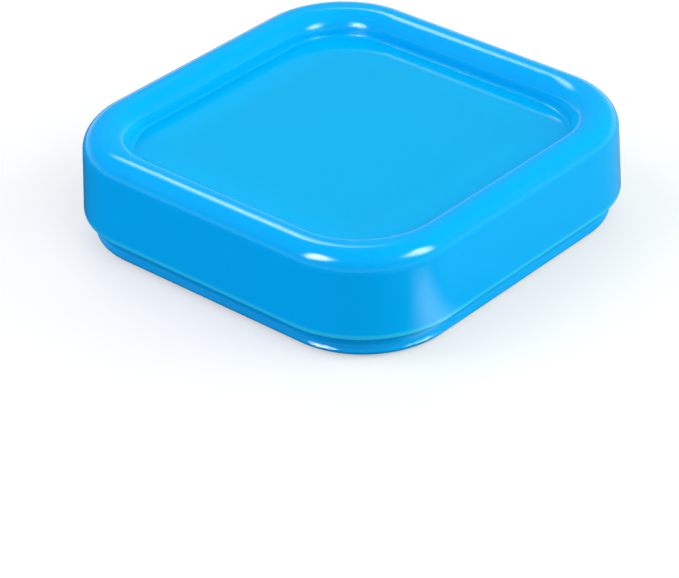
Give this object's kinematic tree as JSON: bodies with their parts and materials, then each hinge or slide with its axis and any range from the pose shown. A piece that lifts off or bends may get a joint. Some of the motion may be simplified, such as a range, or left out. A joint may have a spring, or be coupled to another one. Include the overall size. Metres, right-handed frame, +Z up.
{
  "type": "magnetic pin bowl",
  "caption": "Low square bowl with rounded corners, a thick rolled rim and a shallow flat pan over a ring magnet that holds pins.",
  "frame": {"origin": "on the table, under the middle of the bowl", "axes": "+Z up out of the pan; +X and +Y square to the bowl's straight sides, -Y to the front"},
  "size_m": [0.1048, 0.1048, 0.0275],
  "materials": {
    "shell_plastic": "gloss sky blue",
    "tray_plastic": "gloss sky blue",
    "ferrite": "ground, dark grey",
    "keeper_steel": "zinc plated",
    "foam_tape": "foam with adhesive faces",
    "foam": "closed-cell foam",
    "screw_steel": "zinc plated",
    "foot_rubber": "soft matt rubber"
  },
  "bodies": {
    "root": {"bowl_shell": "shell_plastic", "base_tray": "tray_plastic", "ring_magnet": "ferrite", "keeper_plate": "keeper_steel", "magnet_tape": "foam_tape", "foam_pad": "foam", "base_screws": "screw_steel", "foot_front_left": "foot_rubber", "foot_front_right": "foot_rubber", "foot_back_left": "foot_rubber", "foot_back_right": "foot_rubber"}
  },
  "joints": []
}
